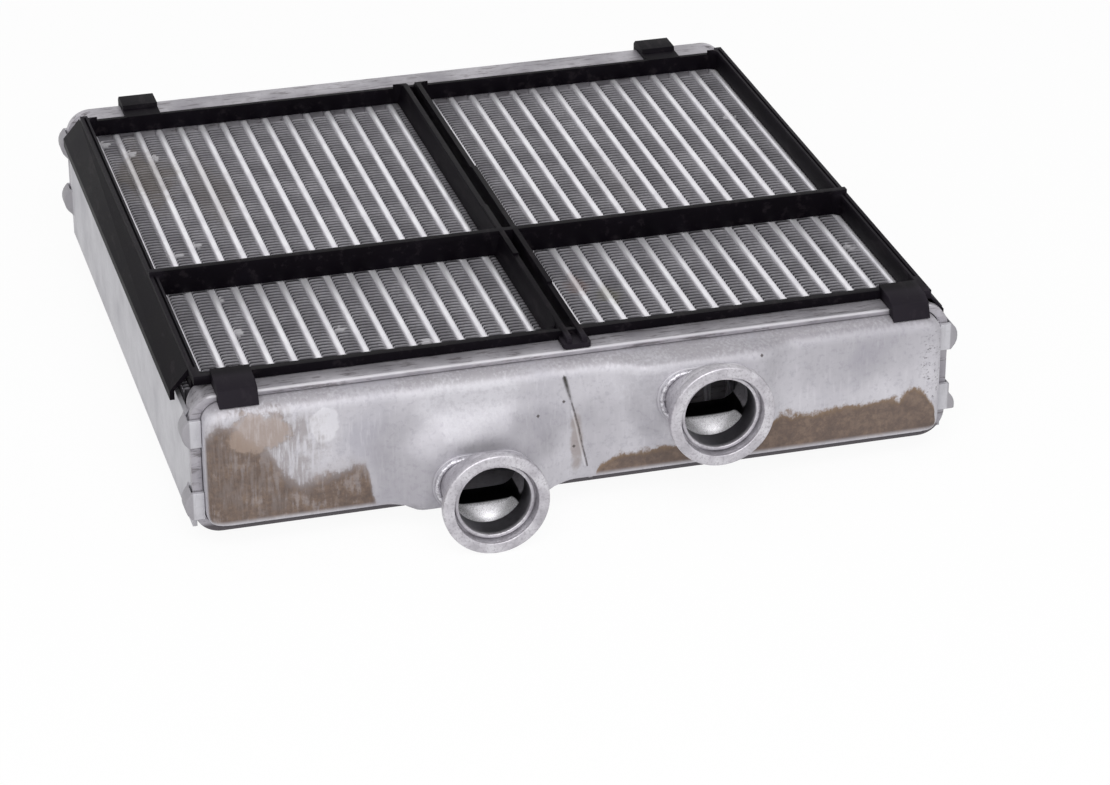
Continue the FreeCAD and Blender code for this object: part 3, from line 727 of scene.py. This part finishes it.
def drawn_line(points):
    """A line of points, drawn on by extruding a single vertex, in millimetres."""
    nothing_selected()
    bpy.ops.mesh.primitive_plane_add(size=MM)
    line = bpy.context.object
    pick(line, "VERT", lambda vertex: vertex.index != 0)
    bpy.ops.mesh.delete(type="VERT")
    object_mode()
    start = Vector(points[0]) * MM
    line.data.vertices[0].co = start
    bpy.ops.object.mode_set(mode="EDIT")
    bpy.ops.mesh.select_mode(type="VERT")
    bpy.ops.mesh.select_all(action="SELECT")
    for before, after in zip(points, points[1:]):
        step = (Vector(after) - Vector(before)) * MM
        bpy.ops.mesh.extrude_region_move(TRANSFORM_OT_translate={"value": step})
    object_mode()
    return line


# Fins and tubes


def fin_strips(finish):
    """One fold of foil is drawn, raised and repeated along a strip; each channel gets a copy."""
    low, high = (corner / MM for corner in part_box("fin_01"))
    folds = int((high.y - low.y) / FOLD_PITCH)
    top = FOIL_TOP + RIM.z
    fold_gap, side_gap = 0.25, 0.02
    drop = FOLD_PITCH - fold_gap
    near = low.y + drop + FOIL
    reach = (high.x - low.x) / 2 - side_gap - FOIL / 2
    half_fold = [(reach - 1.3, 0), (reach - 0.62, 0.16), (reach - 0.2, 0.62), (reach, drop)]
    right = [(x, near - y, low.z) for x, y in half_fold]
    left = [(-x, y, z) for x, y, z in reversed(right)]
    strip = drawn_line(left + right)
    edit_all(strip)
    bpy.ops.mesh.extrude_region_move(
        TRANSFORM_OT_translate={"value": (0, 0, (top - low.z) * MM)})
    bpy.ops.mesh.normals_make_consistent(inside=False)
    object_mode()
    modifier(strip, "SOLIDIFY", thickness=FOIL * MM, offset=0)
    modifier(
        strip, "ARRAY", count=folds, use_relative_offset=False, use_constant_offset=True,
        constant_offset_displace=(0, FOLD_PITCH * MM, 0))
    smooth(strip, 50)
    strips = TUBES + 1
    for number in range(1, strips + 1):
        node = f"fin_{number:02d}"
        left_edge, right_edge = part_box(node)
        copy = twin(strip)
        copy.location.x = (left_edge.x + right_edge.x) / 2
        settle(copy, f"{node}_strip", finish)
        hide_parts(node)
    bpy.data.objects.remove(strip)


def flat_tubes(finish):
    """One tube with round edges and open ends is made and copied to each place of its pass."""
    passes = {
        "inlet_pass_tubes": range(MIDDLE_TUBE),
        "middle_tube": range(MIDDLE_TUBE, MIDDLE_TUBE + 1),
        "outlet_pass_tubes": range(MIDDLE_TUBE + 1, TUBES),
    }
    edge_radius, wall, mouth_depth = 0.85, 0.35, 3
    low, high = (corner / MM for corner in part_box("middle_tube"))
    tube = block(low.x, high.x, low.y, high.y, low.z, high.z)
    pick(tube, "EDGE", lambda edge: is_along(tube, edge, 1))
    bpy.ops.mesh.bevel(offset=edge_radius * MM, segments=6, affect="EDGES", clamp_overlap=False)
    object_mode()
    pick(tube, "FACE", lambda face: abs(face.normal.y) > 0.9)
    bpy.ops.mesh.inset(thickness=wall * MM)
    bpy.ops.mesh.extrude_region_shrink_fatten(
        TRANSFORM_OT_shrink_fatten={"value": -mouth_depth * MM})
    object_mode()
    smooth(tube, 40)
    for node, numbers in passes.items():
        copies = []
        for number in numbers:
            copy = twin(tube)
            copy.location.x = TUBE_PITCH * (number - MIDDLE_TUBE) * MM
            copies.append(copy)
        nothing_selected()
        for copy in copies:
            copy.select_set(True)
        bpy.context.view_layer.objects.active = copies[0]
        if len(copies) > 1:
            bpy.ops.object.join()
        group = settle(copies[0], f"{node}_round", finish)
        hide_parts(node)
    bpy.data.objects.remove(tube)


# Tanks

# The humps pressed out of the front tank's face: outlines as (across, up), then their slopes
HUMPS = {
    "inlet_port": (
        (-53.8, 3), (-51, -12), (-7, -12), (-8.5, 4), (-13, 21), (-22, 28.4), (-42, 28.4),
        (-51.6, 20)),
    "outlet_port": (
        (57.4, 40), (54.6, 56), (11, 56), (12.4, 38), (17, 20), (25, 13.2), (46, 13.2),
        (55.6, 22)),
}
HUMP_START = -2.2
HUMP_RUN = 2.5
HUMP_SOFT = 6

# The bowl's foot, which steps back beside the humps
FOOT_HEIGHT = 4.3
FOOT_BACK = -1
FOOT_SOFT = 4


def tank_shell(node, outward, humps=()):
    """A drawn bowl: rounded corners, round shoulder, humps pressed out for the ports."""
    corner_radius, shoulder, sheet = 6.2, 4, 1.6
    row = 1.4 if humps else 12
    low, high = (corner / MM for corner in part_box(node))
    face = RIM.y + FACE if outward < 0 else high.y
    skirt = high.y if outward < 0 else low.y
    near, far = sorted((face, skirt))
    shell = block(low.x, high.x, near, far, low.z, high.z)
    pick(shell, "EDGE", lambda edge: is_along(shell, edge, 1))
    bpy.ops.mesh.bevel(offset=corner_radius * MM, segments=6, affect="EDGES")
    object_mode()
    pick(shell, "FACE", lambda f: f.normal.y * outward < -0.9)
    bpy.ops.mesh.delete(type="FACE")
    object_mode()
    pick(shell, "EDGE", lambda edge: abs(edge_middle(shell, edge).y / MM - face) < 0.01)
    bpy.ops.mesh.bevel(offset=shoulder * MM, segments=5, affect="EDGES")
    for axis, direction in ((0, (1, 0, 0)), (2, (0, 0, 1))):
        span = high[axis] - low[axis]
        rows = int(span / row)
        for number in range(1, rows):
            slice_at(shell, Vector(direction) * (low[axis] + span * number / rows), direction)
    object_mode()
    if humps:
        press_humps(shell, humps)
        tuck_lower_edge(shell, humps)
        open_ports(shell)
    edit_all(shell)
    bpy.ops.mesh.normals_make_consistent(inside=False)
    object_mode()
    modifier(shell, "SOLIDIFY", thickness=sheet * MM, offset=-1)
    smooth(shell, 40)
    return shell


def press_humps(shell, humps):
    """The tank's face comes forward inside each hump's outline."""
    for vertex in shell.data.vertices:
        x, y, z = vertex.co / MM
        depth = min(1, max(0, (RIM.y + HUMP_START - y) / HUMP_RUN))
        for outline in humps:
            level = inside(outline, x, z - RIM.z, HUMP_SOFT)
            vertex.co.y -= (FACE - PLATEAU) * depth * level * MM


def tuck_lower_edge(shell, humps):
    """Beside the humps the bowl's foot steps back, so that the tray's lip lies in its shade."""
    back = RIM.y + FOOT_BACK
    for vertex in shell.data.vertices:
        x, y, z = vertex.co / MM
        if z - RIM.z < FOOT_HEIGHT and y < back:
            free = 1 - max(inside(outline, x, z - RIM.z, FOOT_SOFT) for outline in humps)
            vertex.co.y += (back - y) * free * MM


def open_ports(shell):
    """The oval holes in the bowl's face, whose edges lie hidden under the bosses."""
    half_width, half_height = FACE_HOLE

    def at_port(face):
        x, y, z = face.center / MM - at(0, 0, 0)
        return y < FACE + 0.5 and any(
            ((x - port_x) / half_width) ** 2 + ((z - port_z) / half_height) ** 2 < 1
            for port_x, port_z in PORTS.values())

    pick(only(shell), "FACE", at_port)
    bpy.ops.mesh.delete(type="FACE")
    object_mode()


def inside(outline, x, z, soft):
    """1 well inside an outline, 0 well outside and smooth across its edge."""
    nearest = math.inf
    within = False
    for (x0, z0), (x1, z1) in zip(outline, outline[1:] + outline[:1]):
        run_x = x1 - x0
        run_z = z1 - z0
        share = ((x - x0) * run_x + (z - z0) * run_z) / (run_x ** 2 + run_z ** 2)
        share = min(1, max(0, share))
        nearest = min(nearest, math.hypot(x - x0 - share * run_x, z - z0 - share * run_z))
        if (z0 > z) != (z1 > z) and x < x0 + (z - z0) * run_x / run_z:
            within = not within
    return eased(0.5 + (nearest if within else -nearest) / (2 * soft))


def oval_block(place, near, far, oval):
    """A block with fully rounded ends across a port's axis."""
    x, z = place
    half_width, half_height = oval
    low = at(x - half_width, near, z - half_height)
    high = at(x + half_width, far, z + half_height)
    piece = block(low.x, high.x, low.y, high.y, low.z, high.z)
    pick(piece, "EDGE", lambda edge: is_along(piece, edge, 1))
    bpy.ops.mesh.bevel(offset=half_height * 0.995 * MM, segments=12, affect="EDGES")
    object_mode()
    return piece


def tanks(finish):
    """The two tank caps; the front one has its ports' humps and oval holes."""
    front = tank_shell("front_tank_cap", -1, list(HUMPS.values()))
    rear = tank_shell("rear_tank_cap", 1)
    for bowl, side in ((front, "front"), (rear, "rear")):
        settle(bowl, f"{side}_tank_bowl", finish)
        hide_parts(f"{side}_tank_cap")


# Ports


def oval_place(angle, oval):
    """Where a point of a round pipe at that angle comes to lie on the flattened one."""
    half_width, half_height = oval
    turn = 0.25
    aside = min(1, max(-1, math.cos(angle) / turn)) * (half_width - half_height)
    return aside + half_height * math.cos(angle), half_height * math.sin(angle)


def port_outline():
    """The port's cross-section as (radius, depth, rounding), round its wall from the mouth."""
    wide, fine = WIDE_ROUNDING, FINE_ROUNDING
    neck_rings = [(PIPE_RADIUS, NECK_START + 1.6 * number, 0) for number in range(6)]
    bore_rings = [(BORE_RADIUS, PASSAGE_END - 1.3 * number, 0) for number in range(4)]
    return [
        (MOUTH_RADIUS, MOUTH_FLOOR, 0), (MOUTH_RADIUS, 0, fine),
        (FLANGE_RADIUS, 0, wide), (FLANGE_RADIUS, 3, wide), (PIPE_RADIUS, 5.5, wide),
        *neck_rings, (PIPE_RADIUS, PORT_LENGTH, 0), (BORE_RADIUS, PORT_LENGTH, 0), *bore_rings,
        (BORE_RADIUS, 9.8, fine), (BORE_RADIUS, BORE_START, fine),
        (GROOVE_RADIUS, BORE_START, fine), (GROOVE_RADIUS, MOUTH_FLOOR, 0),
    ]


def turned_port(node, place, finish):
    """A port: its outline is drawn and spun round its axis, then the neck is flattened."""
    x, z = place
    centre = at(x, PORT_MOUTH, z)
    corners = port_outline()
    line = drawn_line([centre + Vector((radius, depth, 0)) for radius, depth, rounding in corners])
    pick(line, "VERT", lambda vertex: vertex.index in (0, len(corners) - 1))
    bpy.ops.mesh.edge_face_add()
    object_mode()
    for rounding in (WIDE_ROUNDING, FINE_ROUNDING):
        places = [(centre + Vector((r, d, 0))) * MM for r, d, own in corners if own == rounding]
        pick(line, "VERT", lambda v: any((v.co - p).length < 1e-6 for p in places))
        bpy.ops.mesh.bevel(offset=rounding * MM, segments=4, affect="VERTICES")
        object_mode()
    edit_all(line)
    bpy.ops.mesh.spin(steps=80, angle=math.tau, center=centre * MM, axis=(0, 1, 0))
    bpy.ops.mesh.select_all(action="SELECT")
    bpy.ops.mesh.remove_doubles(threshold=1e-6)
    bpy.ops.mesh.normals_make_consistent(inside=False)
    object_mode()
    for vertex in line.data.vertices:
        across, depth, up = vertex.co / MM - centre
        outside = math.hypot(across, up) > (PIPE_RADIUS + BORE_RADIUS) / 2
        if outside:
            share = eased((depth - NECK_START) / NECK_RUN)
        else:
            share = (depth - PASSAGE_START) / (PASSAGE_END - PASSAGE_START)
            share = min(1, max(0, share))
        oval = oval_place(math.atan2(up, across), NECK if outside else PASSAGE)
        across += (oval[0] - across) * share
        up += (oval[1] - up) * share
        vertex.co = (centre + Vector((across, depth, up))) * MM
    smooth(line, 50)
    settle(line, f"{node}_turned", finish)
    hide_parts(node)


def oval_boss(node, place, finish):
    """The low oval step of the tank round a port's neck, with a hole for the neck."""
    boss = oval_block(place, PLATEAU - 0.7, PLATEAU + 0.6, BOSS)
    bit = oval_block(place, PLATEAU - 6, FACE + 4, NECK_HOLE)
    modifier(boss, "BOOLEAN", operation="DIFFERENCE", object=bit, solver="EXACT")
    bpy.data.objects.remove(bit)
    soften(boss, 0.35, 3)
    smooth(boss, 50)
    settle(boss, f"{node}_boss", finish)


def braze_bead(node, place, finish):
    """The uneven ring of braze where a port's neck meets the tank."""
    x, z = place
    centre = at(x, PLATEAU - 0.9, z)
    ring, thickness, lumps = 10, 0.85, 0.34
    bpy.ops.mesh.primitive_torus_add(
        major_segments=96, minor_segments=10, major_radius=ring * MM,
        minor_radius=thickness * MM, location=centre * MM, rotation=(math.pi / 2, 0, 0))
    bead = bpy.context.object
    bpy.ops.object.transform_apply(location=True, rotation=True, scale=True)
    for vertex in bead.data.vertices:
        across, depth, up = vertex.co / MM - centre
        angle = math.atan2(up, across)
        oval = oval_place(angle, BEAD)
        across += oval[0] - ring * math.cos(angle)
        up += oval[1] - ring * math.sin(angle)
        vertex.co = (centre + Vector((across, depth, up))) * MM
    edit_all(bead)
    bpy.ops.transform.vertex_random(offset=lumps * MM, seed=int(abs(x)))
    bpy.ops.mesh.vertices_smooth(factor=0.5, repeat=1)
    object_mode()
    smooth(bead, 80)
    settle(bead, f"{node}_bead", finish)


# Trays, plates and frame

# The side plates' tabs: half their height and the heights of their middles
TAB_HALF = 4.2
FRONT_TABS = (9.6, 32.6)
REAR_TABS = (12.8, 32.6)


def trays(finish):
    """The header trays with the rolled edges of pressed sheet."""
    for node in ("front_header_tray", "rear_header_tray"):
        low, high = (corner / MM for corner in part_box(node))

        def on_rim(place):
            return place.z > high.z - 2 or place.z < low.z + 2 or abs(place.x) > high.x - 4

        tray = merged_copy(node)
        soften(tray, 0.45, 3, on_rim)
        smooth(tray, 45)
        settle(tray, f"{node}_rolled", finish)
        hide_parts(node)


def plates(finish):
    """The side plates with the soft edges of bent sheet."""
    for node in ("left_side_plate", "right_side_plate"):
        plate = merged_copy(node)
        rounded_tabs(plate)
        soften(plate, 0.25, 2)
        smooth(plate, 45)
        settle(plate, f"{node}_bent", finish)
        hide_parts(node)


def rounded_tabs(plate):
    """The plate's tabs bulge most at mid height and run into the sheet above and below."""
    sheet_face = abs(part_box("front_header_tray")[0].x) / MM + 0.2
    bulge = abs(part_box("left_side_plate")[0].x) / MM - sheet_face
    fall = 1.9
    for middle in sorted(set(FRONT_TABS + REAR_TABS)):
        for number in range(-3, 4):
            slice_at(plate, (0, 0, middle + RIM.z + TAB_HALF * number / 3.2), (0, 0, 1))
    object_mode()
    for vertex in plate.data.vertices:
        x, y, z = vertex.co / MM
        out = (abs(x) - sheet_face) / bulge
        if out <= 0:
            continue
        tabs = REAR_TABS if y > 0 else FRONT_TABS
        aside = min(abs(z - RIM.z - middle) for middle in tabs) / TAB_HALF
        vertex.co.x -= math.copysign(fall * out * min(1, aside) ** 2.4, x) * MM


def moulded_frame(finish):
    """The sealing frame with the small radii of a moulding."""
    fold = at(0, 1.5, 44.6)

    def on_fold(place):
        return place.y < fold.y and place.z > fold.z and abs(place.x) > 80

    moulding = merged_copy("sealing_frame")
    soften(moulding, 1.2, 4, on_fold)
    soften(moulding, 0.3, 2)
    smooth(moulding, 45)
    settle(moulding, "sealing_frame_moulded", finish)
    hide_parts("sealing_frame")


# Floor, light and camera


def pale_floor():
    """A wide pale floor that shows near white and keeps the soft shadow."""
    nothing_selected()
    bpy.ops.mesh.primitive_plane_add(size=12, location=(0, 0, cad_box[0][2] - 0.0001))
    floor = bpy.context.object
    floor.name = "pale_floor"
    f = Finish("pale_floor", Roughness=0.9, Specular_IOR_Level=0)
    clouds = f.noise(900, 2)
    f.feed("Base Color", f.tone(
        clouds, (0.3, (0.93, 0.93, 0.93)), (0.7, (0.95, 0.95, 0.95))))
    lit = Value(f, f.shader.outputs["BSDF"])
    white = f.add("ShaderNodeEmission")
    whiteness = f.seen() * 0.93
    f.show(f.add("ShaderNodeMixShader", {}, {0: whiteness, 1: lit, 2: white}).socket)
    floor.data.materials.append(f.material)


def plain_light():
    """A white surround that shows as white, with a wide soft lamp above."""
    world = bpy.data.worlds.new("plain_surround")
    bpy.context.scene.world = world
    world.use_nodes = True
    sky = NodeSheet(world.node_tree)
    soft, white = (
        sky.add("ShaderNodeBackground", {}, {"Color": (1, 1, 1, 1), "Strength": strength})
        for strength in (0.5, 1.0))
    mixed = sky.add("ShaderNodeMixShader", {}, {0: sky.seen(), 1: soft, 2: white})
    sky.add("ShaderNodeOutputWorld", {}, {"Surface": mixed})

    lamp_data = bpy.data.lights.new("overhead_softbox", "AREA")
    lamp_data.shape = "RECTANGLE"
    lamp_data.size = 1.6
    lamp_data.size_y = 1.2
    lamp_data.energy = 22
    lamp = bpy.data.objects.new("overhead_softbox", lamp_data)
    bpy.context.scene.collection.objects.link(lamp)
    lamp.location = (-0.3, -1.25, 1.15)
    lamp.rotation_euler = (-lamp.location).to_track_quat("-Z", "Y").to_euler()


def photo_camera():
    """The camera that stands as the photograph was taken."""
    place = at(-266.9, -923.7, 520.6)
    right = Vector((0.9623, -0.2721, -0.0025))
    rough_up = Vector((0.1259, 0.4372, 0.8905))
    back = right.cross(rough_up).normalized()
    camera_data = bpy.data.cameras.new("camera")
    camera_data.lens = 120.9
    camera_data.sensor_width = 36
    camera_data.sensor_fit = "HORIZONTAL"
    camera_data.clip_start = 0.05
    camera = bpy.data.objects.new("camera", camera_data)
    bpy.context.scene.collection.objects.link(camera)
    turn = Matrix((right, back.cross(right), back)).transposed().to_4x4()
    camera.matrix_world = Matrix.Translation(place * MM) @ turn
    bpy.context.scene.camera = camera


# The part


photo_camera()
plain_light()
pale_floor()

tank_metal = tank_finish()
rim_metal = sheet_finish(
    "rim_aluminium", (140, 137, 144), (162, 159, 165), (186, 183, 189), 0.42, 0.44, 0.75)
plate_metal = sheet_finish(
    "plate_aluminium", (172, 171, 177), (186, 185, 190), (196, 195, 200), 0.4, 0.5, 0.12, (1, 1, 5))
bead_metal = bead_finish()
tube_metal = tube_finish()
foil_metal = foil_finish()
black_plastic = moulded_finish()

fin_strips(foil_metal)
flat_tubes(tube_metal)
tanks(tank_metal)
for port, place in PORTS.items():
    turned_port(port, place, port_finish(port))
    oval_boss(port, place, tank_metal)
    braze_bead(port, place, bead_metal)
trays(rim_metal)
plates(plate_metal)
moulded_frame(black_plastic)
divider = nodes["divider_plate"].data.materials
divider.clear()
divider.append(rim_metal)

bpy.context.scene.view_settings.view_transform = "Standard"
